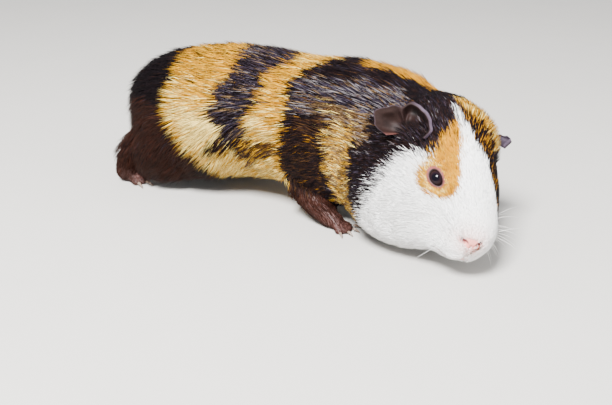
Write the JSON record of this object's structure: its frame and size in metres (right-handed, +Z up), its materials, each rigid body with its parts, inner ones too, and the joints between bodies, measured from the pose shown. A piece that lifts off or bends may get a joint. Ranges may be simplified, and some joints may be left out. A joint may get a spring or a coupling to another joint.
{
  "type": "guinea pig",
  "caption": "Life-size still model of a short-haired tricolour guinea pig grazing with its head turned and lowered, resting on its own feet.",
  "frame": {"origin": "middle of the whole animal's box in X and Y, at the level of its soles", "axes": "+X forward along the trunk, +Y to the animal's left, +Z up"},
  "size_m": [0.238, 0.115, 0.0835],
  "materials": {
    "coat_gold": "short golden and cream hair lying flat",
    "coat_white": "short white hair lying flat",
    "coat_dark": "short blackish-brown hair with a soft cool sheen",
    "bare_skin": "thin dark bare skin, slightly moist",
    "eye": "wet and glossy",
    "claw": "smooth horn"
  },
  "bodies": {
    "root": {"head": "coat_white", "neck": "coat_dark", "trunk": "coat_gold", "thigh_right": "coat_gold", "thigh_left": "coat_gold", "hind_foot_right": "bare_skin", "hind_foot_left": "bare_skin", "fore_leg_right": "coat_dark", "fore_leg_left": "coat_dark", "ear_left": "bare_skin", "ear_right": "bare_skin", "eye_left": "eye", "eye_right": "eye", "claw_hind_right_1": "claw", "claw_hind_right_2": "claw", "claw_hind_right_3": "claw", "claw_hind_left_1": "claw", "claw_hind_left_2": "claw", "claw_hind_left_3": "claw", "claw_fore_right_1": "claw", "claw_fore_right_2": "claw", "claw_fore_right_3": "claw", "claw_fore_right_4": "claw", "claw_fore_left_1": "claw", "claw_fore_left_2": "claw", "claw_fore_left_3": "claw", "claw_fore_left_4": "claw"}
  },
  "joints": []
}
